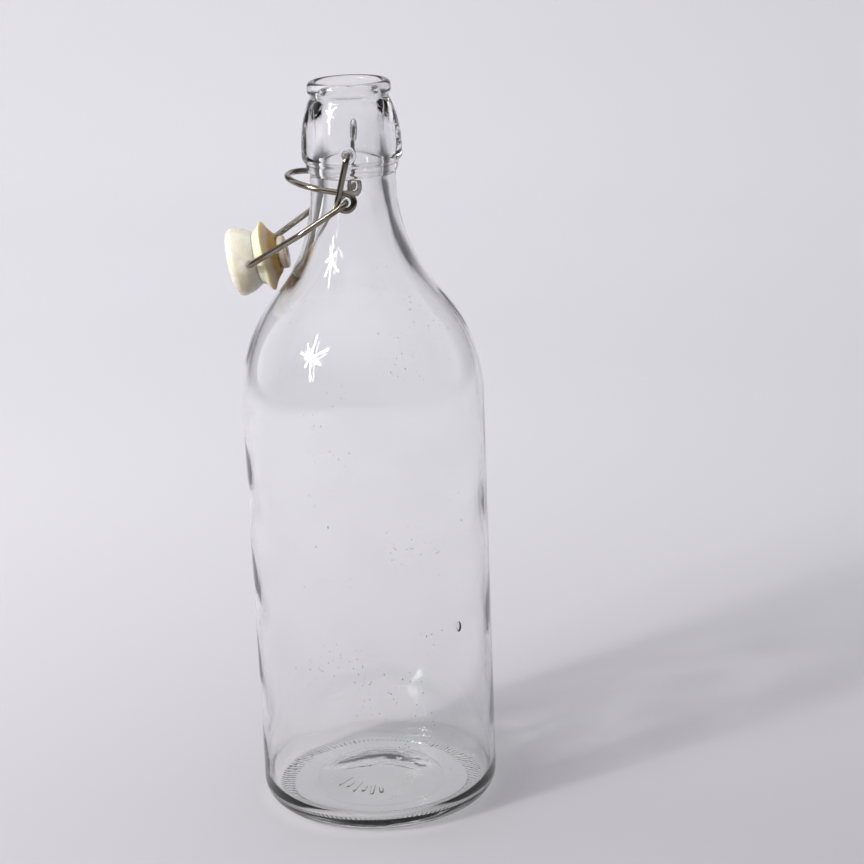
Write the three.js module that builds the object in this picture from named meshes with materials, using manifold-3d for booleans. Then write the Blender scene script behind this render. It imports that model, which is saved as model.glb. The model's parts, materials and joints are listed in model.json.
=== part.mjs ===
// Clear glass swing-top bottle: bottle, lever wire, bail wire, stopper and gasket.
// Millimetres, +Z up, origin on the standing plane under the centre of the bottle.
// The lever pivots in two pits on the Y axis; the closure hangs on the -X side.
import * as THREE from 'three';
import { mergeVertices } from 'three/addons/utils/BufferGeometryUtils.js';
import Module from 'manifold-3d';

const wasm = await Module();
wasm.setup();

// ---- driving dimensions -------------------------------------------------
const HEIGHT = 270;
const BODY_R = 44;
const WALL = 2;
const MOUTH_R = 11.5;
const BORE_R = 10.4;
const BORE_TOP_Z = 252;

const NECK_R = 15.2;
const NECK_TOP_Z = 237.5;
const SHOULDER_SLOPE = THREE.MathUtils.degToRad(38.1);
const OUTER_SHOULDER = { neckR: NECK_R, startZ: 234, neckArc: 63.2, bodyArc: 55, bodyR: BODY_R };
const INNER_SHOULDER = { neckR: BORE_R, startZ: 236.4, neckArc: 64, bodyArc: 53, bodyR: BODY_R - WALL };

const HEEL_R = 7.9;
const STANDING_RING_IN_R = 32.4;
const PUSH_UP = 6;
const FLOOR = { centreZ: 10.4, edgeR: 36.5, edgeZ: 4.4, heelTopZ: 11 };

const COLLAR = { bottomZ: 238.3, widestZ: 244, fullToZ: 246, radius: 17.8, topArc: 44.2 };
const LIP = { grooveZ: 264, grooveR: 13.9, radius: 14.8, bead: 1.9, underZ: 266.4, underR: 1.4, mouthRound: 1.3 };

const PIVOT_Z = HEIGHT - 23.8;
const PIT_R = 1.8;
const PIT_BOTTOM_Y = 15.4;

const WIRE_R = 1.1;
const WIRE_BEND = 2;
const GAP = 0.3;

const LEVER = { pinEndY: 16.2, outerY: 20.2, loopR: 17.7, eyeR: 2.85, rise: 10.2, frontX: -23.2 };
const EYE = new THREE.Vector3(-1.2, 0, PIVOT_Z - 16.2);
const BAIL = { pinEndY: 17.5, outerY: LEVER.outerY + 2 * WIRE_R + GAP, stopperY: 13.6, parallelPart: 0.45 };
const STOPPER_HOLE = new THREE.Vector3(-37.2, 0, 207.2);
const STOPPER_TILT = THREE.MathUtils.degToRad(11.2);
const HOLE_R = WIRE_R + 0.35;

const HEAD = { faceAt: -8.5, crown: 0.7, rimR: 12.5, edge: 2.6, widestAt: -5.25, seatAt: 1.9, seatR: 9.7 };
const PLUG = { stemR: 5, flangeAt: 9.9, flangeR: 6, endAt: 12.6, chamfer: 0.6 };
const GASKET = { backAt: HEAD.seatAt + GAP, boreR: PLUG.stemR + GAP, backR: 9.6, rimAt: 5.3, rimR: 12.7,
  rimEdge: 0.3, frontR: 6.8, frontAt: PLUG.flangeAt - GAP };

const BOTTLE_SEGMENTS = 56;
const WIRE_SIDES = 8;
const LEVER_STEPS = 88;
const BAIL_STEPS = 68;

// ---- helpers ------------------------------------------------------------
// Points of a round arc in the (radius, height) plane, both ends included.
function arc(centreR, centreZ, radius, fromDeg, toDeg, count) {
  const points = [];
  for (let i = 0; i <= count; i += 1) {
    const angle = THREE.MathUtils.degToRad(fromDeg + ((toDeg - fromDeg) * i) / count);
    points.push(new THREE.Vector2(centreR + radius * Math.cos(angle), centreZ + radius * Math.sin(angle)));
  }
  return points;
}

// Spins a (radius, height) profile about the Z axis.
function spin(profile, segments) {
  const geometry = new THREE.LatheGeometry(profile, segments);
  geometry.rotateX(Math.PI / 2);
  return geometry;
}

function toManifold(geometry) {
  const bare = geometry.clone();
  bare.deleteAttribute('normal');
  bare.deleteAttribute('uv');
  const merged = mergeVertices(bare, 1e-4);
  const index = merged.index.array;
  const triVerts = [];
  for (let i = 0; i < index.length; i += 3) {
    const [a, b, c] = [index[i], index[i + 1], index[i + 2]];
    if (a !== b && b !== c && c !== a) triVerts.push(a, b, c);
  }
  const mesh = new wasm.Mesh({
    numProp: 3,
    vertProperties: new Float32Array(merged.attributes.position.array),
    triVerts: new Uint32Array(triVerts),
  });
  return new wasm.Manifold(mesh);
}

function fromManifold(solid) {
  const mesh = solid.getMesh();
  const geometry = new THREE.BufferGeometry();
  geometry.setAttribute('position', new THREE.BufferAttribute(new Float32Array(mesh.vertProperties), 3));
  geometry.setIndex(new THREE.BufferAttribute(new Uint32Array(mesh.triVerts), 1));
  geometry.computeVertexNormals();
  return geometry;
}

// A round bar along Y, from one place on the axis to another.
function barAlongY(radius, fromY, toY, sides) {
  const bar = new THREE.CylinderGeometry(radius, radius, toY - fromY, sides);
  bar.translate(0, (fromY + toY) / 2, 0);
  return bar;
}

// A wire that is the same on both sides of the bottle: half of it, then its mirror image in Y.
function symmetricWire(halfPath, halfPoints, steps) {
  const half = halfPath.getSpacedPoints(halfPoints);
  const otherHalf = half.slice(0, -1).reverse().map((p) => new THREE.Vector3(p.x, -p.y, p.z));
  const path = new THREE.CatmullRomCurve3([...half, ...otherHalf]);
  const section = new THREE.Shape();
  for (let i = 0; i < WIRE_SIDES; i += 1) {
    const angle = (2 * Math.PI * i) / WIRE_SIDES;
    const move = i === 0 ? 'moveTo' : 'lineTo';
    section[move](WIRE_R * Math.cos(angle), WIRE_R * Math.sin(angle));
  }
  section.closePath();
  return new THREE.ExtrudeGeometry(section, { extrudePath: path, steps, bevelEnabled: false });
}

// Straight runs joined by rounded corners of about WIRE_BEND.
function addBentRun(path, corners) {
  let from = corners[0];
  for (let i = 1; i < corners.length - 1; i += 1) {
    const before = corners[i].clone().sub(corners[i - 1]).normalize().multiplyScalar(-WIRE_BEND);
    const after = corners[i + 1].clone().sub(corners[i]).normalize().multiplyScalar(WIRE_BEND);
    const bendStart = corners[i].clone().add(before);
    const bendEnd = corners[i].clone().add(after);
    path.add(new THREE.LineCurve3(from, bendStart));
    path.add(new THREE.QuadraticBezierCurve3(bendStart, corners[i], bendEnd));
    from = bendEnd;
  }
  path.add(new THREE.LineCurve3(from, corners[corners.length - 1]));
}

// ---- bottle -------------------------------------------------------------
// Neck to body: hollow arc, short cone, full arc. Listed from the body up.
function shoulder({ neckR, startZ, neckArc, bodyArc, bodyR }, arcSteps) {
  const slopeDeg = THREE.MathUtils.radToDeg(SHOULDER_SLOPE);
  const rise = (neckArc + bodyArc) * (1 - Math.cos(SHOULDER_SLOPE));
  const cone = (bodyR - neckR - rise) / Math.sin(SHOULDER_SLOPE);
  const drop = (neckArc + bodyArc) * Math.sin(SHOULDER_SLOPE) + cone * Math.cos(SHOULDER_SLOPE);
  return [
    ...arc(bodyR - bodyArc, startZ - drop, bodyArc, 0, slopeDeg, arcSteps),
    ...arc(neckR + neckArc, startZ, neckArc, 180 + slopeDeg, 180, arcSteps),
  ];
}

function collarAndLip() {
  const { bottomZ, widestZ, fullToZ, radius, topArc } = COLLAR;
  const taperEnd = THREE.MathUtils.radToDeg(Math.asin((LIP.grooveZ - 1.2 - fullToZ) / topArc));
  const beadZ = HEIGHT - LIP.bead;
  return [
    new THREE.Vector2(NECK_R, NECK_TOP_Z),
    new THREE.Vector2(NECK_R + 0.7, bottomZ),
    ...arc(radius - 2.6, widestZ - 0.4, 2.6, -60, 0, 3),
    ...arc(radius - topArc, fullToZ, topArc, 0, taperEnd, 4),
    new THREE.Vector2(LIP.grooveR, LIP.grooveZ),
    new THREE.Vector2(LIP.grooveR + 0.12, LIP.grooveZ + 0.9),
    ...arc(LIP.radius - LIP.underR, LIP.underZ, LIP.underR, -50, 0, 2),
    ...arc(LIP.radius - LIP.bead, beadZ, LIP.bead, 0, 90, 4),
    ...arc(MOUTH_R + LIP.mouthRound, HEIGHT - LIP.mouthRound, LIP.mouthRound, 90, 180, 2),
    new THREE.Vector2(BORE_R, BORE_TOP_Z),
  ];
}

function domedFloor(edgeR, edgeZ, centreZ, steps) {
  const points = [];
  for (let i = 0; i <= steps; i += 1) {
    const share = i / steps;
    const lift = (centreZ - edgeZ) * (0.5 + 0.5 * Math.cos(Math.PI * share));
    points.push(new THREE.Vector2(edgeR * share, edgeZ + lift));
  }
  return points;
}

function bottleProfile() {
  const innerR = BODY_R - WALL;
  const innerHeel = new THREE.EllipseCurve(FLOOR.edgeR, FLOOR.heelTopZ, innerR - FLOOR.edgeR,
    FLOOR.heelTopZ - FLOOR.edgeZ, 0, -Math.PI / 2, true);
  return [
    ...domedFloor(STANDING_RING_IN_R, 0, PUSH_UP, 4),
    ...arc(BODY_R - HEEL_R, HEEL_R, HEEL_R, -90, 0, 4),
    ...shoulder(OUTER_SHOULDER, 6),
    ...collarAndLip(),
    ...shoulder(INNER_SHOULDER, 5).reverse(),
    ...innerHeel.getPoints(3),
    ...domedFloor(FLOOR.edgeR, FLOOR.edgeZ, FLOOR.centreZ, 4).reverse().slice(1),
  ];
}

function bottleGeometry() {
  let glass = toManifold(spin(bottleProfile(), BOTTLE_SEGMENTS));
  for (const side of [-1, 1]) {
    const ends = [side * PIT_BOTTOM_Y, side * (COLLAR.radius + 2)].sort((a, b) => a - b);
    const pit = barAlongY(PIT_R, ends[0], ends[1], 16);
    pit.translate(0, 0, PIVOT_Z);
    glass = glass.subtract(toManifold(pit));
  }
  return fromManifold(glass);
}

// ---- lever wire ---------------------------------------------------------
// One turn-back of the wire that forms the eye, stepping inwards along Y as it goes round.
class EyeTurn extends THREE.Curve {
  constructor(fromAngle, toAngle) {
    super();
    this.fromAngle = fromAngle;
    this.toAngle = toAngle;
  }

  getPoint(t, target = new THREE.Vector3()) {
    const angle = THREE.MathUtils.lerp(this.fromAngle, this.toAngle, t);
    const y = -THREE.MathUtils.lerp(LEVER.outerY, LEVER.loopR, t);
    return target.set(EYE.x + LEVER.eyeR * Math.cos(angle), y, EYE.z + LEVER.eyeR * Math.sin(angle));
  }
}

// Half of the loop in front of the neck, from its straight arm to the middle of its front.
class LoopQuarter extends THREE.Curve {
  constructor(start, along) {
    super();
    this.start = start;
    this.along = along;
  }

  getPoint(t, target = new THREE.Vector3()) {
    const angle = (t * Math.PI) / 2;
    target.copy(this.start).addScaledVector(this.along, LEVER.loopR * Math.sin(angle));
    target.y = -LEVER.loopR * Math.cos(angle);
    return target;
  }
}

function leverGeometry() {
  const toEye = new THREE.Vector2(EYE.x, EYE.z - PIVOT_Z);
  const legAngle = toEye.angle() - Math.asin(LEVER.eyeR / toEye.length());
  const eyeStart = legAngle - Math.PI / 2;
  const rise = THREE.MathUtils.degToRad(LEVER.rise);
  const eyeEnd = 2 * Math.PI + Math.PI / 2 - rise;
  const turn = new EyeTurn(eyeStart, eyeEnd);
  const along = new THREE.Vector3(-Math.cos(rise), 0, Math.sin(rise));
  const armStart = turn.getPoint(1);
  const armLength = (armStart.x - LEVER.frontX) / Math.cos(rise) - LEVER.loopR;
  const armEnd = armStart.clone().addScaledVector(along, armLength);

  const half = new THREE.CurvePath();
  addBentRun(half, [
    new THREE.Vector3(0, -LEVER.pinEndY, PIVOT_Z),
    new THREE.Vector3(0, -LEVER.outerY, PIVOT_Z),
    turn.getPoint(0),
  ]);
  half.add(turn);
  half.add(new THREE.LineCurve3(armStart, armEnd));
  half.add(new LoopQuarter(armEnd, along));
  return symmetricWire(half, LEVER_STEPS / 2, LEVER_STEPS);
}

// ---- bail wire ----------------------------------------------------------
function bailGeometry() {
  const parallelEnd = EYE.clone().lerp(STOPPER_HOLE, BAIL.parallelPart);
  const half = new THREE.CurvePath();
  addBentRun(half, [
    new THREE.Vector3(EYE.x, -BAIL.pinEndY, EYE.z),
    new THREE.Vector3(EYE.x, -BAIL.outerY, EYE.z),
    new THREE.Vector3(parallelEnd.x, -BAIL.outerY, parallelEnd.z),
    new THREE.Vector3(STOPPER_HOLE.x, -BAIL.stopperY, STOPPER_HOLE.z),
    STOPPER_HOLE,
  ]);
  return symmetricWire(half, BAIL_STEPS / 2, BAIL_STEPS);
}

// ---- stopper and gasket -------------------------------------------------
// Profiles are (radius, place along the plug axis), with the wire hole's axis at 0.
function stopperGeometry() {
  const { faceAt, crown, rimR, edge, widestAt, seatAt, seatR } = HEAD;
  const profile = [
    new THREE.Vector2(0, faceAt),
    new THREE.Vector2(0.45 * rimR, faceAt + 0.25 * crown),
    ...arc(rimR - edge, widestAt, edge, -78, 0, 5),
    new THREE.Vector2((rimR + seatR) / 2 + 0.35, (widestAt + seatAt) / 2),
    new THREE.Vector2(seatR, seatAt),
    new THREE.Vector2(PLUG.stemR, seatAt),
    new THREE.Vector2(PLUG.stemR, PLUG.flangeAt),
    new THREE.Vector2(PLUG.flangeR, PLUG.flangeAt),
    new THREE.Vector2(PLUG.flangeR, PLUG.endAt - PLUG.chamfer),
    new THREE.Vector2(PLUG.flangeR - PLUG.chamfer, PLUG.endAt),
    new THREE.Vector2(0, PLUG.endAt),
  ];
  const body = toManifold(spin(profile, 36));
  const hole = toManifold(barAlongY(HOLE_R, -2 * rimR, 2 * rimR, 16));
  return fromManifold(body.subtract(hole));
}

function gasketGeometry() {
  const { backAt, boreR, backR, rimAt, rimR, rimEdge, frontR, frontAt } = GASKET;
  const skirtBack = new THREE.QuadraticBezierCurve(
    new THREE.Vector2(backR, backAt),
    new THREE.Vector2(backR + 0.9, rimAt - 0.9),
    new THREE.Vector2(rimR, rimAt - rimEdge),
  );
  const profile = [
    new THREE.Vector2(boreR, backAt),
    ...skirtBack.getPoints(5),
    new THREE.Vector2(rimR, rimAt + rimEdge),
    new THREE.Vector2(frontR, frontAt),
    new THREE.Vector2(boreR, frontAt),
    new THREE.Vector2(boreR, backAt),
  ];
  return spin(profile, 36);
}

// ---- assembly -----------------------------------------------------------
function piece(name, geometry, color, roughness, metalness, extra = {}) {
  const material = new THREE.MeshStandardMaterial({ color, roughness, metalness, ...extra });
  const mesh = new THREE.Mesh(geometry, material);
  mesh.name = name;
  return mesh;
}

const closureHead = new THREE.Group();
closureHead.position.copy(STOPPER_HOLE);
closureHead.rotation.y = Math.PI / 2 - STOPPER_TILT;
closureHead.add(piece('stopper', stopperGeometry(), '#ece6cf', 0.3, 0));
closureHead.add(piece('gasket', gasketGeometry(), '#d9b871', 0.5, 0));

const growler = new THREE.Group();
growler.add(piece('bottle', bottleGeometry(), '#dfe8e4', 0.04, 0, { transparent: true, opacity: 0.35 }));
growler.add(piece('lever_wire', leverGeometry(), '#8f8b84', 0.28, 1));
growler.add(piece('bail_wire', bailGeometry(), '#8f8b84', 0.28, 1));
growler.add(closureHead);

export default growler;
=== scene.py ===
"""Looks of the clear glass swing-top bottle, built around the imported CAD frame.

Shapes are worked out in millimetres, as the CAD is, and every mesh is stored in metres.
Each outline is a list of (radius, height) points that is resampled, spun and then
displaced along its own normal, so ripples, seams, pits and ribs are real geometry.
"""
import json
import math

import bpy
import numpy as np
from mathutils import Euler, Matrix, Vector


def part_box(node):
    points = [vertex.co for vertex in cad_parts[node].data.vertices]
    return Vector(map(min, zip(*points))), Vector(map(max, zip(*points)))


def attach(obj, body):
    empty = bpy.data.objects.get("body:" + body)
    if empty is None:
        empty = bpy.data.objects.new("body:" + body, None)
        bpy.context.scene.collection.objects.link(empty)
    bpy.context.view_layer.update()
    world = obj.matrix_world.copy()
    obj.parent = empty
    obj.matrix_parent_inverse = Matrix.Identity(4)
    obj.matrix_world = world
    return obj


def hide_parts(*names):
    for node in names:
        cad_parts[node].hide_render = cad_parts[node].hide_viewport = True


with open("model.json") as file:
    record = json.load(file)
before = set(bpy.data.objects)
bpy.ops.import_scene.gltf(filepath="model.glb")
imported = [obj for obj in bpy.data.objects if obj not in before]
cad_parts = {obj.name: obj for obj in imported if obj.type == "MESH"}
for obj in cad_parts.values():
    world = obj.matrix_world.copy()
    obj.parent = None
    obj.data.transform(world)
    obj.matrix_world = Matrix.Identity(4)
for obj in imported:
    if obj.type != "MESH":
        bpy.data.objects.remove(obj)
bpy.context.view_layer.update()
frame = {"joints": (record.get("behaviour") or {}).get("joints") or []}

MM = 0.001
joints = {joint["name"]: joint for joint in frame["joints"]}
bottle_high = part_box("bottle")[1] / MM

# ---- sizes taken from the frame ------------------------------------------
HEIGHT = bottle_high.z
BODY_R = bottle_high.x
PIVOT = Vector(joints["lever_pivot"]["pos_m"]) / MM
EYE = Vector(joints["bail_pivot"]["pos_m"]) / MM
HOLE = Vector(joints["stopper_pivot"]["pos_m"]) / MM

# ---- bottle, the same shape as the CAD solid ------------------------------
WALL = 2.0
MOUTH_R = 11.5
BORE_R = 10.4
BORE_TOP_Z = 252
NECK_R = 15.2
SHOULDER_SLOPE = math.radians(38.1)
OUTER_SHOULDER = dict(neck_r=NECK_R, start_z=234, neck_arc=63.2, body_arc=55, body_r=BODY_R)
INNER_SHOULDER = dict(neck_r=BORE_R, start_z=236.4, neck_arc=64, body_arc=53, body_r=BODY_R - WALL)
HEEL_R = 7.9
RING_IN_R = 32.4
PUSH_UP = 6.0
FLOOR = dict(centre_z=10.4, edge_r=36.5, edge_z=4.4, heel_top_z=11)
COLLAR = dict(bottom_z=238.3, widest_z=244, full_to_z=246, radius=17.8, top_arc=44.2)
LIP = dict(groove_z=264, groove_r=13.9, radius=14.8, bead=1.9, under_z=266.4, under_r=1.4, mouth_round=1.3)
PIT = dict(radius=1.8, depth=2.3, rim=0.1)
COLLAR_FROM_Z = 236   # above this the outside is collar, groove and lip
NECK_FADE_Z = (225, 240)   # the waves of the body fade out over this height
SEGMENTS = 512
RIBS = 128

# ---- surface detail of the bottle, in mm ------------------------------------
SKIN = 0.12          # the body is drawn in by this much, so that its waves stay inside the CAD box
BODY_WAVE = 0.034    # outside, left by the mould
COLLAR_WAVE = 0.012
SEAM_HEIGHT = 0.09
RIB_DEPTH = 0.42     # knurling under the heel
MARK_HEIGHT = 0.4    # plain marks under the base
INNER_WAVE = 0.11    # inside, where no mould touched the glass
FLOOR_WAVE = 0.12
NECK_INNER_WAVE = 0.035
UNEVEN_WALL = 0.34   # one side of the body is this much thicker
MARKS = dict(row_r=15.0, bar_half=2.6, bars=6, bar_step=math.radians(12), row_from=math.radians(215),
             dots=3, dot_step=math.radians(22), dots_from=math.radians(20), ring_r=24)
BLISTER = dict(turn=math.radians(-40), height=75.1, half_sizes=(0.6, 1.2, 2.0))
SEEDS = 16

# ---- closure --------------------------------------------------------------
WIRE_R = 1.1
WIRE_BEND = 2.0
LEVER = dict(pin_end_y=16.2, outer_y=20.2, loop_r=17.7, eye_r=2.85, rise=math.radians(10.2), front_x=-23.2)
BAIL = dict(pin_end_y=17.5, outer_y=22.7, stopper_y=13.6, parallel_part=0.45)
STOPPER_TILT = math.radians(11.2)
STOPPER_SAG = 0.35   # stopper and gasket are drawn this much below the CAD, with the hole left in place
HEAD = dict(face_at=-8.5, crown=0.7, rim_r=12.5, edge=2.6, widest_at=-5.25, seat_at=1.9, seat_r=9.7)
PLUG = dict(stem_r=5.0, flange_at=9.9, flange_r=6.0, end_at=12.6, chamfer=0.6)
GASKET = dict(back_at=1.92, bore_r=5.3, back_r=9.6, rim_at=5.3, rim_r=12.7, front_r=6.8, front_at=9.6)
HOLE_R = WIRE_R + 0.35

# ---- studio ---------------------------------------------------------------
AIM = Vector((0, 0, 0.13))
KEY_FROM = Vector((-0.936, -0.756, 0.82))
KEY_SIZE = (0.09, 0.13)
KEY_COLOUR = (1.0, 0.985, 0.965)
STRIPS = 7
STRIP_WIDTH = 0.035
CAMERA_AT = (0.0734, -0.8388, 0.3911)
KEY_WATTS = 4.5
KEY_THROUGH_WATTS = 6.5
STRIP_WATTS = 5.5   # per metre of strip
ROOM_DARK = (0.04, 0.04, 0.043)
ROOM_BRIGHT = (1.06, 1.06, 1.10)
# painted shade on the paper: darker to the front and to the right, in place of light falloff
PAPER_PAINTED_SHADE_FRONT_TO_BACK = (0.60, 1.0)
PAPER_PAINTED_SHADE_LEFT_TO_RIGHT = (0.94, 0.83)
# painted light: the paper glows at the back and under the bottle, though it is no lamp
PAINTED_BACK_GLOW = 0.19
PAINTED_UNDER_GLOW = 0.22


# ---- outlines -------------------------------------------------------------
def arc(centre_r, centre_z, radius, from_deg, to_deg, count=24):
    """Points of a round arc in the (radius, height) plane, both ends included."""
    turn = np.radians(np.linspace(from_deg, to_deg, count + 1))
    return np.stack([centre_r + radius * np.cos(turn), centre_z + radius * np.sin(turn)], 1)


def shoulder(neck_r, start_z, neck_arc, body_arc, body_r):
    """Body to neck: a full arc, a short cone and a hollow arc."""
    slope = math.degrees(SHOULDER_SLOPE)
    rise = (neck_arc + body_arc) * (1 - math.cos(SHOULDER_SLOPE))
    cone = (body_r - neck_r - rise) / math.sin(SHOULDER_SLOPE)
    drop = (neck_arc + body_arc) * math.sin(SHOULDER_SLOPE) + cone * math.cos(SHOULDER_SLOPE)
    return np.concatenate([
        arc(body_r - body_arc, start_z - drop, body_arc, 0, slope, 60),
        arc(neck_r + neck_arc, start_z, neck_arc, 180 + slope, 180, 60),
    ])


def domed_floor(edge_r, edge_z, centre_z):
    """From the axis outwards, a gentle dome that ends level."""
    share = np.linspace(0, 1, 40)
    return np.stack([edge_r * share, edge_z + (centre_z - edge_z) * (0.5 + 0.5 * np.cos(np.pi * share))], 1)


def collar_and_lip():
    """Barrel-shaped collar, groove and rolled lip."""
    taper_end = math.degrees(math.asin((LIP["groove_z"] - 1.2 - COLLAR["full_to_z"]) / COLLAR["top_arc"]))
    bead_z = HEIGHT - LIP["bead"]
    return np.concatenate([
        [[NECK_R, 237.5], [NECK_R + 0.7, COLLAR["bottom_z"]]],
        arc(COLLAR["radius"] - 2.6, COLLAR["widest_z"] - 0.4, 2.6, -60, 0),
        arc(COLLAR["radius"] - COLLAR["top_arc"], COLLAR["full_to_z"], COLLAR["top_arc"], 0, taper_end),
        [[LIP["groove_r"], LIP["groove_z"]], [LIP["groove_r"] + 0.12, LIP["groove_z"] + 0.9]],
        arc(LIP["radius"] - LIP["under_r"], LIP["under_z"], LIP["under_r"], -50, 0),
        arc(LIP["radius"] - LIP["bead"], bead_z, LIP["bead"], 0, 90),
    ])


def inner_heel():
    """Quarter ellipse from the inner wall down to the inner floor."""
    half_r = BODY_R - WALL - FLOOR["edge_r"]
    half_z = FLOOR["heel_top_z"] - FLOOR["edge_z"]
    turn = np.linspace(0, -np.pi / 2, 24)
    return np.stack([FLOOR["edge_r"] + half_r * np.cos(turn), FLOOR["heel_top_z"] + half_z * np.sin(turn)], 1)


def resample(outline, spacing):
    """Even points along an outline; spacing(height) gives the wanted step there."""
    outline = np.asarray(outline, float)
    steps = np.linalg.norm(np.diff(outline, axis=0), axis=1)
    keep = np.concatenate([[True], steps > 1e-6])
    outline, steps = outline[keep], steps[steps > 1e-6]
    fine_along = np.concatenate([[0], np.cumsum(steps)])
    along = np.linspace(0, fine_along[-1], 6000)
    points = np.stack([np.interp(along, fine_along, outline[:, k]) for k in (0, 1)], 1)
    wanted = np.cumsum(np.concatenate([[0], np.diff(along) / spacing(points[1:, 1])]))
    places = np.linspace(0, wanted[-1], int(wanted[-1]) + 1)
    return np.stack([np.interp(places, wanted, points[:, k]) for k in (0, 1)], 1)


def relax(outline, times):
    """Rounds the corners of an outline a little and keeps its two ends."""
    for _ in range(times):
        outline[1:-1] = 0.25 * outline[:-2] + 0.5 * outline[1:-1] + 0.25 * outline[2:]
    return outline


def outline_normals(outline, end_on_axis=(True, True)):
    """Unit normals to the left of the direction of travel; level ends on the axis point up or down."""
    tangent = np.gradient(outline, axis=0)
    normal = np.stack([tangent[:, 1], -tangent[:, 0]], 1)
    normal /= np.linalg.norm(normal, axis=1)[:, None]
    for end, on_axis in ((0, end_on_axis[0]), (-1, end_on_axis[1])):
        if on_axis:
            normal[end] = (0, math.copysign(1, normal[end, 1]))
    return normal


def smooth_step(low, high, value):
    share = np.clip((value - low) / (high - low), 0, 1)
    return share * share * (3 - 2 * share)


def angle_from(turn, middle):
    """Signed angle from middle to turn, between -pi and pi."""
    return np.angle(np.exp(1j * (turn - middle)))


def ripple(turn, height, seed, lengths, around, size):
    """Slow random waves over a round surface.

    around gives the fewest and most waves per turn, lengths the shortest and longest upright wave in mm.
    """
    draw = np.random.default_rng(seed)
    total = np.zeros(np.broadcast(turn, height).shape)
    count = 14
    for _ in range(count):
        per_turn = draw.integers(around[0], around[1] + 1)
        upright = 2 * np.pi / draw.uniform(*lengths)
        phase = draw.uniform(0, 2 * np.pi)
        side = draw.choice((-1, 1))
        total += draw.normal() * np.cos(per_turn * turn + side * upright * height + phase)
    return size * total / math.sqrt(count)


# ---- meshes ---------------------------------------------------------------
def make_object(name, points, faces):
    mesh = bpy.data.meshes.new(name)
    mesh.from_pydata((np.asarray(points) * MM).tolist(), [], faces)
    mesh.update()
    mesh.validate()
    mesh.shade_smooth()
    made = bpy.data.objects.new(name, mesh)
    bpy.context.scene.collection.objects.link(made)
    return made


def spin(outline, normals, push):
    """Points and faces of an outline spun about Z, each point moved along its normal by push(turn, index)."""
    segments = push.shape[1]
    turn = np.linspace(0, 2 * np.pi, segments, endpoint=False)
    radius = outline[:, :1] + normals[:, :1] * push
    height = outline[:, 1:] + normals[:, 1:] * push
    grid = np.stack([radius * np.cos(turn), radius * np.sin(turn), height], 2)
    count = len(outline)
    points = [grid[0, 0] * (0, 0, 1)]
    points += list(grid[1:-1].reshape(-1, 3))
    points.append(grid[-1, 0] * (0, 0, 1))
    faces = []
    last = len(points) - 1
    for j in range(segments):
        beside = (j + 1) % segments
        faces.append((0, 1 + beside, 1 + j))
        for i in range(count - 3):
            low, high = 1 + i * segments, 1 + (i + 1) * segments
            faces.append((low + j, low + beside, high + beside, high + j))
        top = 1 + (count - 3) * segments
        faces.append((top + j, top + beside, last))
    return points, faces


def bubble(centre, half_sizes, turned):
    """A closed void in the glass: a small ellipsoid whose faces look inwards."""
    rings, around = 10, 16
    points = []
    for i in range(rings + 1):
        fall = math.pi * i / rings
        for j in range(around):
            turn = 2 * math.pi * j / around
            points.append((math.sin(fall) * math.cos(turn), math.sin(fall) * math.sin(turn), math.cos(fall)))
    points = np.array(points) * half_sizes
    cos_t, sin_t = math.cos(turned), math.sin(turned)
    x = points[:, 0] * cos_t - points[:, 1] * sin_t + centre[0]
    y = points[:, 0] * sin_t + points[:, 1] * cos_t + centre[1]
    points = np.stack([x, y, points[:, 2] + centre[2]], 1)
    top, bottom = points[0], points[-1]
    ring_points = points[around:-around]
    made = [top, *ring_points, bottom]
    faces = []
    last = len(made) - 1
    for j in range(around):
        beside = (j + 1) % around
        faces.append((0, 1 + beside, 1 + j))
        for i in range(rings - 2):
            low, high = 1 + i * around, 1 + (i + 1) * around
            faces.append((low + j, low + beside, high + beside, high + j))
        end = 1 + (rings - 2) * around
        faces.append((end + j, end + beside, last))
    return made, faces


# ---- bottle ---------------------------------------------------------------
def step_outside(height):
    """Spacing of the outline outside: fine on the collar and the base, wider on the plain wall."""
    return np.where(height > COLLAR_FROM_Z, 0.33, np.where(height > 100, 1.3, np.where(height > 9, 2.4, 0.75)))


def step_inside(height):
    return np.where(height > 266, 0.35, np.where(height > 225, 0.9, np.where(height > 100, 1.3,
                    np.where(height > 15, 2.4, 0.8))))


def push_up_marks(turn, radius):
    """Plain raised mould marks under the base: a short bowed row of bars, three dots and a faint ring."""
    m = MARKS
    ring = 1 - smooth_step(0.2, 1.0, np.abs(radius - m["ring_r"]))
    marks = 0.3 * ring + np.zeros(np.broadcast(turn, radius).shape)
    for k in range(m["bars"]):
        away = radius * angle_from(turn, m["row_from"] + k * m["bar_step"])
        long_way = np.abs(radius - m["row_r"]) - m["bar_half"] * (0.6 if k % 2 else 1)
        bar = (1 - smooth_step(0.4, 0.9, np.abs(away))) * (1 - smooth_step(-0.3, 0.3, long_way))
        marks = np.maximum(marks, bar)
    for k in range(m["dots"]):
        dot_turn = m["dots_from"] + m["dot_step"] * k
        away_x = radius * np.cos(turn) - m["row_r"] * math.cos(dot_turn)
        away_y = radius * np.sin(turn) - m["row_r"] * math.sin(dot_turn)
        marks = np.maximum(marks, 1 - smooth_step(0.8, 1.5, np.hypot(away_x, away_y)))
    return marks


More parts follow.
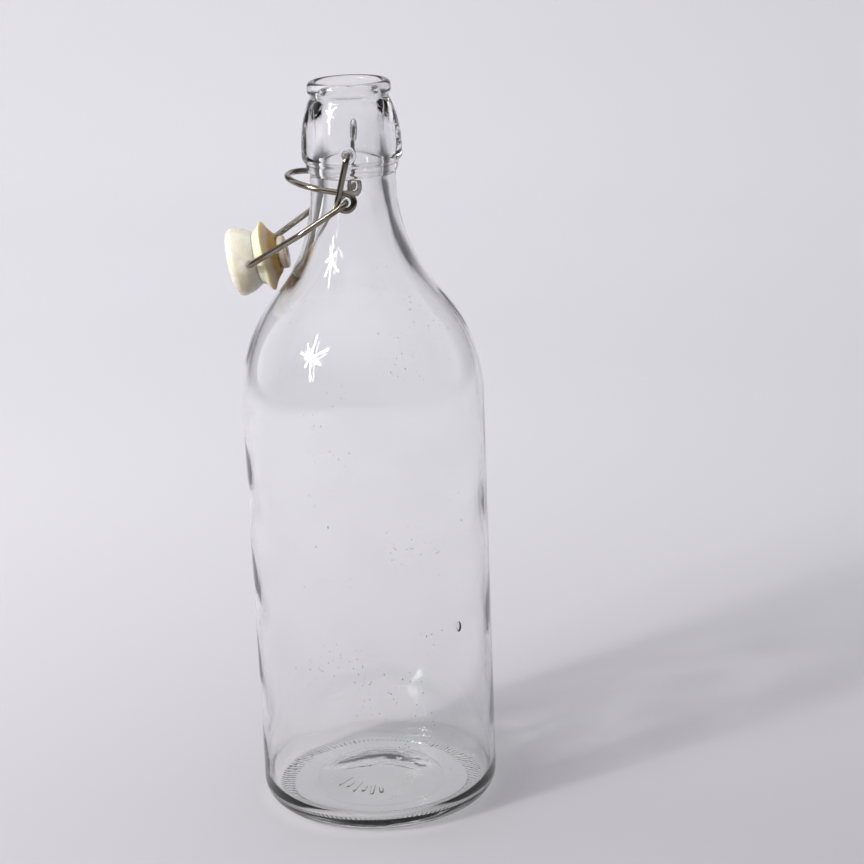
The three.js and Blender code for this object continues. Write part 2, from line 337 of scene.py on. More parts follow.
def outer_push(outline, turn):
    """How far the outside is moved along its normal."""
    radius, height = outline[:, :1], outline[:, 1:]
    on_body = smooth_step(6, 20, height) * (1 - smooth_step(*NECK_FADE_Z, height))
    on_collar = smooth_step(COLLAR_FROM_Z, COLLAR_FROM_Z + 4, height)
    on_base = 1 - smooth_step(2, 6.5, height)
    push = -SKIN * smooth_step(4, 16, height) * (1 - smooth_step(150, 200, height))
    push = push + on_body * ripple(turn, height, 3, (14, 42), (2, 11), BODY_WAVE)
    push = push + on_collar * ripple(turn, height, 5, (6, 14), (3, 14), COLLAR_WAVE)
    seams = SEAM_HEIGHT * seam(turn, radius) * smooth_step(2, 9, height)
    push = push + seams * (1 - smooth_step(262, 264, height))
    ribs_here = smooth_step(RING_IN_R + 0.6, RING_IN_R + 1.6, radius) * (1 - smooth_step(38.6, 40.4, radius))
    ribs_here = ribs_here * on_base
    push = push - RIB_DEPTH * ribs_here * (0.5 - 0.5 * np.cos(RIBS * turn))
    under = (radius < RING_IN_R - 4) & (height < PUSH_UP + 1)
    push = push + MARK_HEIGHT * np.where(under, push_up_marks(turn, radius), 0)
    for side in (-1, 1):
        around = radius * angle_from(turn, side * math.pi / 2)
        reach = np.hypot(around, height - PIVOT.z)
        on_wall = (radius > 15) & (height > COLLAR_FROM_Z)
        pit = PIT["depth"] * (1 - smooth_step(0.62 * PIT["radius"], PIT["radius"] + 0.25, reach))
        rim = PIT["rim"] * (1 - smooth_step(0, 0.7, np.abs(reach - PIT["radius"] - 0.5)))
        push = push + np.where(on_wall, rim - pit, 0)
    highest = np.where(height > COLLAR_FROM_Z, 0.25, np.where(under, 0.5, 0.0))
    return np.minimum(push, highest) * smooth_step(0, 4, radius)


def seam(turn, radius):
    """The two upright mould seams, midway between the pivot pits."""
    away = radius * np.minimum(np.abs(angle_from(turn, 0)), np.abs(angle_from(turn, np.pi)))
    return 1 - smooth_step(0.1, 0.55, away)


def inner_push(outline, turn):
    """How far the inside is moved: it never touched the mould, so it is wavier than the outside."""
    radius, height = outline[:, :1], outline[:, 1:]
    off_floor = smooth_step(9, 30, height)
    in_body = off_floor * (1 - smooth_step(200, 235, height))
    push = in_body * ripple(turn, height, 8, (20, 64), (1, 8), INNER_WAVE)
    lean = np.cos(turn - 0.9 + height / 90)
    push = push + off_floor * (1 - smooth_step(150, 215, height)) * UNEVEN_WALL * lean
    push = push + (1 - smooth_step(4, 14, height)) * ripple(turn, radius, 13, (12, 30), (1, 4), FLOOR_WAVE)
    push = push + smooth_step(*NECK_FADE_Z, height) * ripple(turn, height, 17, (9, 26), (1, 5), NECK_INNER_WAVE)
    return push * smooth_step(0, 5, radius)


def build_bottle():
    outside = np.concatenate([
        domed_floor(RING_IN_R, 0, PUSH_UP),
        arc(BODY_R - HEEL_R, HEEL_R, HEEL_R, -90, 0),
        shoulder(**OUTER_SHOULDER),
        collar_and_lip(),
    ])
    inside = np.concatenate([
        arc(MOUTH_R + LIP["mouth_round"], HEIGHT - LIP["mouth_round"], LIP["mouth_round"], 90, 180),
        [[BORE_R, BORE_TOP_Z]],
        shoulder(**INNER_SHOULDER)[::-1],
        inner_heel(),
        domed_floor(FLOOR["edge_r"], FLOOR["edge_z"], FLOOR["centre_z"])[::-1],
    ])
    outside = relax(resample(outside, step_outside), 1)
    inside = relax(resample(inside, step_inside), 2)
    inside = inside[1:]
    turn = np.linspace(0, 2 * np.pi, SEGMENTS, endpoint=False)[None, :]
    outside_normals = outline_normals(outside, (True, False))
    inside_normals = outline_normals(inside, (False, True))
    push = np.concatenate([outer_push(outside, turn), inner_push(inside, turn)])
    normals = np.concatenate([outside_normals, inside_normals])
    points, faces = spin(np.concatenate([outside, inside]), normals, push)

    draw = np.random.default_rng(21)
    mid_wall = BODY_R - 0.55 * WALL
    voids = [(BLISTER["turn"], BLISTER["height"], BLISTER["half_sizes"])]
    for _ in range(SEEDS):
        size = draw.uniform(0.12, 0.26)
        void_turn, height = draw.uniform(-math.pi, math.pi), draw.uniform(24, 135)
        voids.append((void_turn, height, (size, 1.1 * size, size * draw.uniform(1.2, 2.4))))
    for void_turn, height, half_sizes in voids:
        centre = (mid_wall * math.cos(void_turn), mid_wall * math.sin(void_turn), height)
        extra, extra_faces = bubble(centre, half_sizes, void_turn)
        start = len(points)
        points = list(points) + extra
        faces += [tuple(start + k for k in face) for face in extra_faces]
    return make_object("bottle_glass", points, faces)


# ---- wires ----------------------------------------------------------------
def bent_run(corners):
    """Straight runs joined by rounded corners, as points about 0.3 mm apart."""
    corners = [np.array(c, float) for c in corners]
    points = []
    start = corners[0]
    for before, corner, after in zip(corners, corners[1:], corners[2:]):
        into = corner - (corner - before) / np.linalg.norm(corner - before) * WIRE_BEND
        out = corner + (after - corner) / np.linalg.norm(after - corner) * WIRE_BEND
        points += straight(start, into)
        for t in np.linspace(0, 1, 12):
            points.append((1 - t) ** 2 * into + 2 * t * (1 - t) * corner + t * t * out)
        start = out
    return points + straight(start, corners[-1])


def straight(start, end):
    count = max(2, int(np.linalg.norm(end - start) / 0.35))
    return [start + (end - start) * t for t in np.linspace(0, 1, count)]


def lever_path():
    """Half of the lever: pit, leg, one turn of the eye, straight arm and a quarter of the front loop."""
    leg = math.atan2(EYE.z - PIVOT.z, EYE.x) - math.asin(LEVER["eye_r"] / math.hypot(EYE.x, EYE.z - PIVOT.z))
    first, last = leg - math.pi / 2, math.pi / 2 - LEVER["rise"]
    eye = []
    for share in np.linspace(0, 1, 90):
        angle = first + (last - first) * share
        side = LEVER["outer_y"] + (LEVER["loop_r"] - LEVER["outer_y"]) * share
        x, z = LEVER["eye_r"] * math.cos(angle), LEVER["eye_r"] * math.sin(angle)
        eye.append(np.array([EYE.x + x, -side, EYE.z + z]))
    along = np.array([-math.cos(LEVER["rise"]), 0, math.sin(LEVER["rise"])])
    arm_length = (eye[-1][0] - LEVER["front_x"]) / math.cos(LEVER["rise"]) - LEVER["loop_r"]
    arm_end = eye[-1] + along * arm_length
    path = bent_run([(0, -LEVER["pin_end_y"], PIVOT.z), (0, -LEVER["outer_y"], PIVOT.z), eye[0]])
    path += eye
    path += straight(eye[-1], arm_end)
    for angle in np.linspace(0, math.pi / 2, 60):
        point = arm_end + along * LEVER["loop_r"] * math.sin(angle)
        point[1] = -LEVER["loop_r"] * math.cos(angle)
        path.append(point)
    return path


def bail_path():
    """Half of the bail: hook in the eye, two straight runs and half of the crossbar."""
    eye, hole = np.array(EYE), np.array(HOLE)
    parallel_end = eye + (hole - eye) * BAIL["parallel_part"]
    side = np.array([0, 1, 0])
    return bent_run([
        eye - side * BAIL["pin_end_y"],
        eye - side * BAIL["outer_y"],
        parallel_end - side * BAIL["outer_y"],
        hole - side * BAIL["stopper_y"],
        hole,
    ])


def whole_wire(half):
    """Half a wire and its mirror image in Y, with doubled points left out and even spacing."""
    half = np.array(half)
    path = np.concatenate([half, half[::-1] * (1, -1, 1)])
    steps = np.linalg.norm(np.diff(path, axis=0), axis=1)
    keep = np.concatenate([[True], steps > 1e-4])
    path = path[keep]
    along = np.concatenate([[0], np.cumsum(np.linalg.norm(np.diff(path, axis=0), axis=1))])
    places = np.linspace(0, along[-1], int(along[-1] / 0.4) | 1)
    even = np.stack([np.interp(places, along, path[:, k]) for k in range(3)], 1)
    for _ in range(3):
        even[1:-1] = 0.25 * even[:-2] + 0.5 * even[1:-1] + 0.25 * even[2:]
    return even


def build_wire(name, half, seed):
    """A round drawn wire with softened cut ends and faint handling dents."""
    path = whole_wire(half)
    sides = 24
    tangent = np.gradient(path, axis=0)
    tangent /= np.linalg.norm(tangent, axis=1)[:, None]
    across = np.array([0, 0, 1.0])
    draw = np.random.default_rng(seed)
    apart, depth = 9, 0.006
    dent_places = np.arange(0, len(path) + apart, apart)
    dents = np.interp(np.arange(len(path)), dent_places, draw.normal(0, depth, len(path) // apart + 2))
    cut = 0.35
    along = np.concatenate([[0], np.cumsum(np.linalg.norm(np.diff(path, axis=0), axis=1))])
    to_end = np.minimum(along, along[-1] - along)
    points, along_values = [], []
    for i, (place, forward) in enumerate(zip(path, tangent)):
        across = across - forward * across.dot(forward)
        across /= np.linalg.norm(across)
        up = np.cross(forward, across)
        edge = min(1.0, 0.72 + 0.28 * math.sqrt(min(1.0, to_end[i] / cut)))
        for j in range(sides):
            turn = 2 * math.pi * j / sides
            radius = (WIRE_R + dents[i] * math.cos(turn - 0.3 * i)) * edge
            points.append(place + radius * (math.cos(turn) * across + math.sin(turn) * up))
            along_values.append(along[i])
    faces = []
    for i in range(len(path) - 1):
        for j in range(sides):
            beside = (j + 1) % sides
            low, high = i * sides, (i + 1) * sides
            faces.append((low + j, low + beside, high + beside, high + j))
    faces.append(tuple(reversed(range(sides))))
    faces.append(tuple((len(path) - 1) * sides + j for j in range(sides)))
    wire = make_object(name, points, faces)
    wire.data.set_sharp_from_angle(angle=math.radians(50))
    lengthwise = wire.data.attributes.new("lengthwise", "FLOAT", "POINT")
    lengthwise.data.foreach_set("value", np.array(along_values, np.float32))
    return wire


# ---- stopper and gasket ---------------------------------------------------
def place_on_plug_axis(points):
    """From the plug's own axes, with its axis along Z and the wire hole at 0, to the object's frame."""
    cos_t, sin_t = math.cos(math.pi / 2 - STOPPER_TILT), math.sin(math.pi / 2 - STOPPER_TILT)
    points = np.array(points)
    x = points[:, 0] * cos_t + points[:, 2] * sin_t
    z = -points[:, 0] * sin_t + points[:, 2] * cos_t
    return np.stack([x, points[:, 1], z - STOPPER_SAG], 1) + np.array(HOLE)


def head_outline():
    head, plug = HEAD, PLUG
    return np.concatenate([
        [[0, head["face_at"]], [0.45 * head["rim_r"], head["face_at"] + 0.25 * head["crown"]]],
        arc(head["rim_r"] - head["edge"], head["widest_at"], head["edge"], -78, 0),
        [[(head["rim_r"] + head["seat_r"]) / 2 + 0.35, (head["widest_at"] + head["seat_at"]) / 2]],
        arc(head["seat_r"] - 0.5, head["seat_at"] - 0.5, 0.5, 0, 90, 8),
        [[plug["stem_r"], head["seat_at"]], [plug["stem_r"], plug["flange_at"]]],
        [[plug["flange_r"] - 0.3, plug["flange_at"]], [plug["flange_r"], plug["flange_at"] + 0.35]],
        arc(plug["flange_r"] - plug["chamfer"], plug["end_at"] - plug["chamfer"], plug["chamfer"], 0, 90, 8),
        [[1.6, plug["end_at"]], [1.3, plug["end_at"] - 0.45], [0, plug["end_at"] - 0.5]],
    ])


def build_stopper():
    outline = relax(resample(head_outline(), lambda at: np.full_like(at, 0.34)), 3)
    normals = outline_normals(outline)
    turn = np.linspace(0, 2 * np.pi, 160, endpoint=False)[None, :]
    radius, at = outline[:, :1], outline[:, 1:]
    on_head = smooth_step(HEAD["face_at"] + 0.5, HEAD["face_at"] + 3, at) * (1 - smooth_step(0.6, 1.8, at))
    push = on_head * ripple(turn, at, 31, (9, 22), (1, 4), 0.05) - 0.05
    for side in (-1, 1):
        away = radius * angle_from(turn, side * math.pi / 2)
        reach = np.hypot(away, at)
        cheek = (1 - smooth_step(2.2, 4.6, reach)) * 0.42
        lip = (1 - smooth_step(0, 0.7, np.abs(reach - HOLE_R - 0.35))) * 0.22
        push = push + on_head * np.where(radius > 8, cheek + lip, 0)
    parting = 0.06 * seam(turn, radius) * on_head
    chips = smooth_step(PLUG["end_at"] - 1.2, PLUG["end_at"] - 0.5, at) * (radius > PLUG["flange_r"] - 1.0)
    push = push + parting + chips * np.minimum(0, ripple(turn, at, 37, (2, 6), (9, 30), 0.10))
    push = push * smooth_step(0, 1.5, radius)
    points, faces = spin(outline, normals, push)
    return bored(make_object("stopper_moulding", place_on_plug_axis(points), faces))


def bored(stopper):
    """Cuts the wire's cross hole right through the head."""
    sides = 32
    reach = 2 * HEAD["rim_r"]
    turns = [2 * math.pi * j / sides for j in range(sides)]
    ring = [(HOLE_R * math.cos(turn), HOLE_R * math.sin(turn)) for turn in turns]
    points = [(HOLE.x + x, HOLE.y + y, HOLE.z + z) for y in (-reach, reach) for x, z in ring]
    faces = [(j, (j + 1) % sides, sides + (j + 1) % sides, sides + j) for j in range(sides)]
    faces.append(tuple(reversed(range(sides))))
    faces.append(tuple(range(sides, 2 * sides)))
    drill = make_object("drill", points, faces)
    cut = stopper.modifiers.new("hole", "BOOLEAN")
    cut.operation, cut.solver, cut.object = "DIFFERENCE", "EXACT", drill
    depsgraph = bpy.context.evaluated_depsgraph_get()
    stopper.data = bpy.data.meshes.new_from_object(stopper.evaluated_get(depsgraph))
    stopper.data.name = "stopper_moulding"
    stopper.modifiers.clear()
    bpy.data.objects.remove(drill)
    stopper.data.shade_smooth()
    stopper.data.set_sharp_from_angle(angle=math.radians(48))
    return stopper


def gasket_outline():
    """Closed section: bore, cupped back, thin rim, sloping front."""
    g = GASKET
    t = np.linspace(0, 1, 24)[:, None]
    back_start, back_end = np.array([g["back_r"], g["back_at"]]), np.array([g["rim_r"], g["rim_at"] - 0.22])
    bend = np.array([g["back_r"] + 0.9, g["rim_at"] - 0.9])
    back = (1 - t) ** 2 * back_start + 2 * t * (1 - t) * bend + t * t * back_end
    front_start = np.array([g["rim_r"], g["rim_at"] + 0.22])
    front_end = np.array([g["front_r"], g["front_at"]])
    sag = np.array([(g["rim_r"] + g["front_r"]) / 2 - 0.5, (g["rim_at"] + g["front_at"]) / 2 - 0.5])
    front = (1 - t) ** 2 * front_start + 2 * t * (1 - t) * sag + t * t * front_end
    return np.concatenate([[[g["bore_r"], g["back_at"]]], back, front, [[g["bore_r"], g["front_at"]]],
                           [[g["bore_r"], g["back_at"]]]])


def build_gasket():
    outline = resample(gasket_outline(), lambda at: np.full_like(at, 0.3))[:-1]
    closed = np.concatenate([outline[-1:], outline, outline[:1]])
    for _ in range(2):
        closed[1:-1] = 0.25 * closed[:-2] + 0.5 * closed[1:-1] + 0.25 * closed[2:]
        closed[0], closed[-1] = closed[-2], closed[1]
    outline = closed[1:-1]
    count, segments = len(outline), 160
    turn = np.linspace(0, 2 * np.pi, segments, endpoint=False)[None, :]
    radius, at = outline[:, :1], outline[:, 1:]
    on_rim = smooth_step(8.5, 12, radius)
    flare = on_rim * (ripple(turn, 0 * at, 41, (9, 22), (2, 5), 0.16) - 0.1)
    wear = on_rim * smooth_step(12, 12.6, radius) * np.minimum(0, ripple(turn, at, 43, (3, 9), (7, 24), 0.09))
    outer = radius + wear + 0.05 * ripple(turn, at, 47, (3, 8), (2, 9), 1.0) * smooth_step(6, 8, radius)
    outer = np.minimum(outer, GASKET["rim_r"] + 0.05)
    along = at + flare
    points = np.stack([outer * np.cos(turn), outer * np.sin(turn), along + 0 * outer], 2).reshape(-1, 3)
    faces = []
    for i in range(count):
        low, high = i * segments, ((i + 1) % count) * segments
        for j in range(segments):
            beside = (j + 1) % segments
            faces.append((low + j, low + beside, high + beside, high + j))
    gasket = make_object("gasket_ring", place_on_plug_axis(points), faces)
    gasket.data.set_sharp_from_angle(angle=math.radians(60))
    spread = smooth_step(GASKET["rim_at"] - 0.2, GASKET["front_at"] - 0.8, at)
    spread = spread * (1 - smooth_step(8.0, 11.2, radius))
    age = np.broadcast_to(spread, (count, segments)).reshape(-1)
    amber = gasket.data.attributes.new("amber", "FLOAT", "POINT")
    amber.data.foreach_set("value", age.astype(np.float32))
    return gasket


# ---- materials ------------------------------------------------------------
class Shader:
    """A node material with short names for what every material here needs."""

    def __init__(self, name):
        self.material = bpy.data.materials.new(name)
        self.material.use_nodes = True
        self.nodes = self.material.node_tree.nodes
        self.links = self.material.node_tree.links
        self.shader = self.nodes["Principled BSDF"]
        self.place = self.nodes.new("ShaderNodeTexCoord").outputs["Object"]

    def set(self, **values):
        for name, value in values.items():
            self.shader.inputs[name.replace("_", " ")].default_value = value

    def link(self, output, name):
        self.links.new(output, self.shader.inputs[name])

    def node(self, kind, links=(), **settings):
        made = self.nodes.new(kind)
        for name, value in settings.items():
            setattr(made, name, value)
        for name, output in dict(links).items():
            if isinstance(output, (int, float, tuple)):
                made.inputs[name].default_value = output
            else:
                self.links.new(output, made.inputs[name])
        return made

    def noise(self, scale, detail=4.0, stretch=None, roughness=0.5):
        place = self.place
        if stretch:
            mapping = self.node("ShaderNodeMapping", {"Vector": place, "Scale": stretch})
            place = mapping.outputs["Vector"]
        texture = self.node("ShaderNodeTexNoise", {"Vector": place, "Scale": scale, "Detail": detail,
                                                   "Roughness": roughness})
        return texture.outputs["Fac"]

    def spots(self, scale, low, high):
        """1 inside small scattered dots, 0 between them."""
        cells = self.node("ShaderNodeTexVoronoi", {"Vector": self.place, "Scale": scale, "Randomness": 1.0})
        return self.range(cells.outputs["Distance"], low, high, 1.0, 0.0)

    def range(self, value, low, high, to_low, to_high, eased=False):
        made = self.node("ShaderNodeMapRange", {"Value": value, "From Min": low, "From Max": high,
                                                "To Min": to_low, "To Max": to_high})
        if eased:
            made.interpolation_type = "SMOOTHERSTEP"
        return made.outputs["Result"]

    def maths(self, operation, first, second):
        made = self.node("ShaderNodeMath", operation=operation)
        for slot, value in enumerate((first, second)):
            if isinstance(value, (int, float)):
                made.inputs[slot].default_value = value
            else:
                self.links.new(value, made.inputs[slot])
        return made.outputs[0]

    def mix(self, share, first, second):
        """A colour between two colours, each given as a tuple or as another node's output."""
        made = self.node("ShaderNodeMix", data_type="RGBA")
        self.links.new(share, made.inputs["Factor"])
        for slot, value in ((6, first), (7, second)):
            if isinstance(value, tuple):
                made.inputs[slot].default_value = (*value, 1)
            else:
                self.links.new(value, made.inputs[slot])
        return made.outputs[2]

    def bump(self, height, distance, strength=1.0):
        made = self.node("ShaderNodeBump", {"Height": height, "Distance": distance, "Strength": strength})
        self.link(made.outputs["Normal"], "Normal")


def clear_glass():
    """Soda-lime glass with old wiping marks, dried specks and a faint grey-green body."""
    glass = Shader("clear_glass")
    glass.set(IOR=1.52, Transmission_Weight=1.0)
    film = glass.range(glass.noise(38, 5), 0.52, 0.72, 0.0, 1.0)
    dusty = glass.range(glass.noise(30, 2), 0.58, 0.66, 0.0, 1.0)
    dust = glass.maths("MULTIPLY", glass.spots(420, 0.06, 0.16), dusty)
    tint = glass.mix(film, (0.997, 1.0, 0.998), (0.975, 0.98, 0.977))
    glass.link(glass.mix(dust, tint, (0.42, 0.40, 0.36)), "Base Color")
    rough = glass.maths("ADD", glass.range(film, 0, 1, 0.004, 0.02), glass.range(dust, 0, 1, 0, 0.5))
    glass.link(rough, "Roughness")
    glass.bump(glass.noise(260, 3), 0.00004, 0.5)
    absorption = glass.node("ShaderNodeVolumeAbsorption", {"Color": (0.80, 0.82, 0.805, 1), "Density": 6.0})
    output = glass.nodes["Material Output"]
    glass.links.new(absorption.outputs["Volume"], output.inputs["Volume"])
    return glass.material


def wire_steel():
    """Drawn, nickel-bright wire with fine lengthwise lines and brown tarnish in patches."""
    steel = Shader("wire_steel")
    steel.set(Metallic=1.0)
    lengthwise = steel.node("ShaderNodeAttribute", attribute_name="lengthwise").outputs["Fac"]
    lines = steel.noise(1500, 3)
    patch = steel.range(steel.noise(160, 6), 0.5, 0.74, 0.0, 1.0)
    slow = steel.node("ShaderNodeTexNoise", {"W": lengthwise, "Scale": 0.12, "Detail": 3.0},
                      noise_dimensions="1D")
    shine = steel.range(slow.outputs["Fac"], 0.3, 0.7, 0.06, 0.15)
    steel.link(steel.mix(patch, (0.29, 0.26, 0.215), (0.11, 0.085, 0.06)), "Base Color")
    steel.link(steel.maths("ADD", shine, steel.range(patch, 0, 1, 0, 0.2)), "Roughness")
    steel.bump(steel.maths("ADD", lines, patch), 0.00002, 0.5)
    return steel.material


def ivory_plastic():
    """Glossy moulded plastic that has yellowed unevenly, with hairline scuffs and a few dark pits."""
    ivory = Shader("ivory_plastic")
    ivory.set(Subsurface_Weight=1.0, Subsurface_Scale=0.008, IOR=1.5, Coat_Weight=0.25, Coat_Roughness=0.12)
    ivory.shader.inputs["Subsurface Radius"].default_value = (1.0, 0.8, 0.45)
    cloud = ivory.range(ivory.noise(90, 4), 0.35, 0.7, 0.0, 1.0)
    base = ivory.mix(cloud, (0.72, 0.71, 0.65), (0.70, 0.675, 0.585))
    pitted = ivory.range(ivory.noise(220, 2), 0.62, 0.7, 0.0, 1.0)
    pits = ivory.maths("MULTIPLY", ivory.spots(900, 0.08, 0.2), pitted)
    # the colour turns darker and browner towards the plug end
    x = ivory.node("ShaderNodeSeparateXYZ", {"Vector": ivory.place}).outputs["X"]
    plug_x = (HOLE.x + PLUG["stem_r"]) * MM
    towards_plug = ivory.maths("ADD", ivory.range(x, plug_x, plug_x + 6 * MM, 0, 1),
                               ivory.range(ivory.noise(300, 3), 0.3, 0.7, -0.25, 0.25))
    base = ivory.mix(ivory.range(towards_plug, 0, 1, 0, 1), base, (0.56, 0.46, 0.36))
    ivory.link(ivory.mix(pits, base, (0.16, 0.10, 0.06)), "Base Color")
    scuffs = ivory.noise(700, 5, (1.0, 0.25, 1.0))
    ivory.link(ivory.range(scuffs, 0.3, 0.7, 0.2, 0.38), "Roughness")
    ivory.bump(ivory.maths("ADD", scuffs, ivory.noise(120, 2)), 0.00006, 0.5)
    return ivory.material


def aged_rubber():
    """Cream rubber, amber where it has perished near the plug, with dark brown specks."""
    rubber = Shader("aged_rubber")
    rubber.set(Subsurface_Weight=0.9, Subsurface_Scale=0.005)
    rubber.shader.inputs["Subsurface Radius"].default_value = (1.0, 0.65, 0.25)
    amber = rubber.node("ShaderNodeAttribute", attribute_name="amber").outputs["Fac"]
    mottled = rubber.maths("ADD", amber, rubber.range(rubber.noise(240, 5), 0.3, 0.7, -0.25, 0.25))
    base = rubber.mix(rubber.range(mottled, 0.15, 0.95, 0, 1), (0.75, 0.68, 0.52), (0.60, 0.37, 0.11))
    specks = rubber.maths("MULTIPLY", rubber.spots(800, 0.2, 0.32), rubber.range(mottled, 0.3, 0.6, 0, 1))
    specks = rubber.maths("MULTIPLY", specks, rubber.range(rubber.noise(430, 2), 0.5, 0.56, 0, 1))
    rubber.link(rubber.mix(specks, base, (0.10, 0.035, 0.012)), "Base Color")
    rubber.link(rubber.range(rubber.noise(500, 4), 0.3, 0.7, 0.36, 0.58), "Roughness")
    rubber.bump(rubber.maths("SUBTRACT", rubber.noise(900, 5), specks), 0.00008, 0.6)
    return rubber.material


def studio_paper():
    """Pale lilac-grey sweep, with painted shade: darker in front and to the right, dark far out at both sides.

    Painted light: it glows a little at the back, where the lamps and room leave the wall dim, and under the
    bottle, where clear glass lets more light through than is traced.
    """
    paper = Shader("studio_paper")
    paper.set(Roughness=0.9, Specular_IOR_Level=0.1)
    x, y, _ = paper.node("ShaderNodeSeparateXYZ", {"Vector": paper.place}).outputs
    # painted shade: the paper's colour darkens to the front, to the right and far out at the sides
    to_right = paper.range(x, -0.5, 0.45, *PAPER_PAINTED_SHADE_LEFT_TO_RIGHT)
    far_out = paper.range(paper.maths("ABSOLUTE", x, 0), 0.62, 1.25, 1, 0.25)
    across = paper.maths("MULTIPLY", to_right, far_out)
    shade = paper.maths("MULTIPLY", across, paper.range(y, -0.3, 0.6, *PAPER_PAINTED_SHADE_FRONT_TO_BACK, eased=True))
    shade = paper.maths("MULTIPLY", shade, paper.range(paper.noise(3, 3), 0.3, 0.7, 0.985, 1.0))
    paper.link(paper.mix(shade, (0, 0, 0), (0.90, 0.885, 0.935)), "Base Color")
    paper.set(Emission_Color=(0.98, 0.97, 1.0, 1))
    # painted light: emission at the back and under the bottle, though the paper is no lamp
    painted_back_glow = paper.maths("MULTIPLY", across, paper.range(y, 0.1, 1.3, 0, PAINTED_BACK_GLOW, eased=True))
    reach = paper.node("ShaderNodeVectorMath", {"Vector": paper.place}, operation="LENGTH")
    from_middle = reach.outputs["Value"]
    painted_under_glow = paper.range(from_middle, 0.034, 0.05, PAINTED_UNDER_GLOW, 0, eased=True)
    paper.link(paper.maths("ADD", painted_back_glow, painted_under_glow), "Emission Strength")
    return paper.material


# ---- pieces ---------------------------------------------------------------
def add_piece(piece, body, node, material):
    piece.data.materials.clear()
    piece.data.materials.append(material)
    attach(piece, body)
    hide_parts(node)


steel = wire_steel()
add_piece(build_bottle(), "bottle", "bottle", clear_glass())
add_piece(build_wire("lever_wire_drawn", lever_path(), 51), "lever", "lever_wire", steel)
add_piece(build_wire("bail_wire_drawn", bail_path(), 52), "bail", "bail_wire", steel)
add_piece(build_stopper(), "stopper", "stopper", ivory_plastic())
add_piece(build_gasket(), "stopper", "gasket", aged_rubber())


# ---- studio ---------------------------------------------------------------
def build_sweep():
    """A floor that curves up into a wall well behind the bottle."""
    half_width, front, bend_from, bend_r, top = 3000, -3000, 1100, 700, 2600
    side = [(front, 0), (bend_from, 0)]
    for turn in np.linspace(-math.pi / 2, 0, 25)[1:]:
        side.append((bend_from + bend_r * math.cos(turn), bend_r + bend_r * math.sin(turn)))
    side.append((bend_from + bend_r, top))
    points = [(x, y, z) for y, z in side for x in (-half_width, half_width)]
    faces = [(2 * i, 2 * i + 1, 2 * i + 3, 2 * i + 2) for i in range(len(side) - 1)]
    sweep = make_object("studio_sweep", points, faces)
    sweep.data.materials.append(studio_paper())
    sweep.cycles.is_caustics_receiver = True


def add_lamp(name, place, size, watts, roll=0.0):
    """A rectangular area lamp aimed at the middle of the bottle."""
    lamp = bpy.data.lights.new(name, "AREA")
    lamp.shape = "RECTANGLE"
    lamp.size, lamp.size_y = size
    lamp.energy = watts
    lamp.color = KEY_COLOUR
    lamp.cycles.is_caustics_light = True
    holder = bpy.data.objects.new(name, lamp)
    bpy.context.scene.collection.objects.link(holder)
    holder.location = place
    holder.rotation_mode = "QUATERNION"
    holder.rotation_quaternion = (AIM - place).to_track_quat("-Z", "Y")
    holder.rotation_quaternion = holder.rotation_quaternion @ Euler((0, 0, roll)).to_quaternion()
    return holder


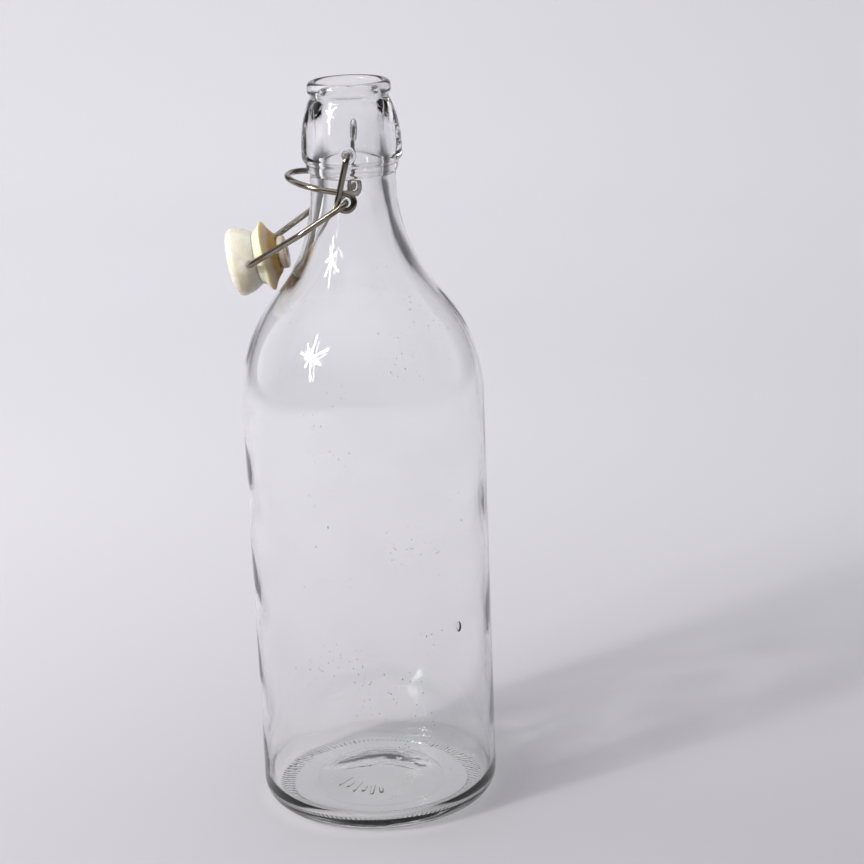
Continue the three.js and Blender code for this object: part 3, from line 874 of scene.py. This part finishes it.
def light_the_studio():
    """A small key with a ragged ring of thin strips, from the front left, in a pale room.

    A second key in the same place is stopped only by the wires and the stopper. It stands for the light
    that thin clear walls let through.
    """
    solid_pieces = bpy.data.collections.new("solid_pieces")
    for name in ("lever_wire_drawn", "bail_wire_drawn", "stopper_moulding", "gasket_ring"):
        solid_pieces.objects.link(bpy.data.objects[name])
    add_lamp("key", KEY_FROM, KEY_SIZE, KEY_WATTS)
    through = add_lamp("key_through_glass", KEY_FROM, KEY_SIZE, KEY_THROUGH_WATTS)
    through.light_linking.blocker_collection = solid_pieces
    facing = (AIM - KEY_FROM).to_track_quat("-Z", "Y")
    draw = np.random.default_rng(5)
    for k in range(STRIPS):
        turn = 2 * math.pi * (k + draw.uniform(-0.25, 0.25)) / STRIPS
        length = draw.uniform(0.14, 0.34)
        shift = facing @ Vector((-math.sin(turn), math.cos(turn), 0)) * (0.07 + 0.5 * length)
        add_lamp(f"key_strip_{k}", KEY_FROM + shift, (STRIP_WIDTH, length), STRIP_WATTS * length, turn)
    world = bpy.data.worlds.new("pale_room")
    bpy.context.scene.world = world
    world.use_nodes = True
    nodes, links = world.node_tree.nodes, world.node_tree.links

    def remap(value, low, high, to_low, to_high):
        made = nodes.new("ShaderNodeMapRange")
        for name, number in (("From Min", low), ("From Max", high), ("To Min", to_low), ("To Max", to_high)):
            made.inputs[name].default_value = number
        links.new(value, made.inputs["Value"])
        return made.outputs["Result"]

    def maths(operation, first, second):
        made = nodes.new("ShaderNodeMath")
        made.operation = operation
        links.new(first, made.inputs[0])
        links.new(second, made.inputs[1])
        return made.outputs[0]

    parts = nodes.new("ShaderNodeSeparateXYZ")
    links.new(nodes.new("ShaderNodeTexCoord").outputs["Generated"], parts.inputs[0])
    overhead = remap(parts.outputs["Z"], 0.3, 0.9, 0, 1)
    behind = remap(parts.outputs["Y"], -0.1, 0.45, 0, 1)
    bright = maths("MAXIMUM", overhead, behind)
    bright = maths("MULTIPLY", bright, remap(parts.outputs["X"], -0.2, 1.0, 1, 0.45))
    colour = nodes.new("ShaderNodeMix")
    colour.data_type = "RGBA"
    links.new(bright, colour.inputs["Factor"])
    colour.inputs[6].default_value = (*ROOM_DARK, 1)
    colour.inputs[7].default_value = (*ROOM_BRIGHT, 1)
    links.new(colour.outputs[2], nodes["Background"].inputs["Color"])


def add_camera():
    """A 100 mm lens a little above and to the right of the bottle's front."""
    camera = bpy.data.cameras.new("camera")
    camera.lens = 100
    camera.sensor_width = 36
    camera.clip_start, camera.clip_end = 0.05, 20
    holder = bpy.data.objects.new("camera", camera)
    bpy.context.scene.collection.objects.link(holder)
    holder.location = CAMERA_AT
    turn_left, look_down, lean = math.radians(3.33), math.radians(16.61), math.radians(-2.22)
    facing = Euler((math.pi / 2 - look_down, 0, turn_left)).to_quaternion()
    holder.rotation_mode = "QUATERNION"
    holder.rotation_quaternion = facing @ Euler((0, 0, lean)).to_quaternion()
    bpy.context.scene.camera = holder


build_sweep()
bpy.data.objects["bottle_glass"].cycles.is_caustics_caster = True
light_the_studio()
add_camera()
bpy.context.scene.view_settings.view_transform = "Standard"
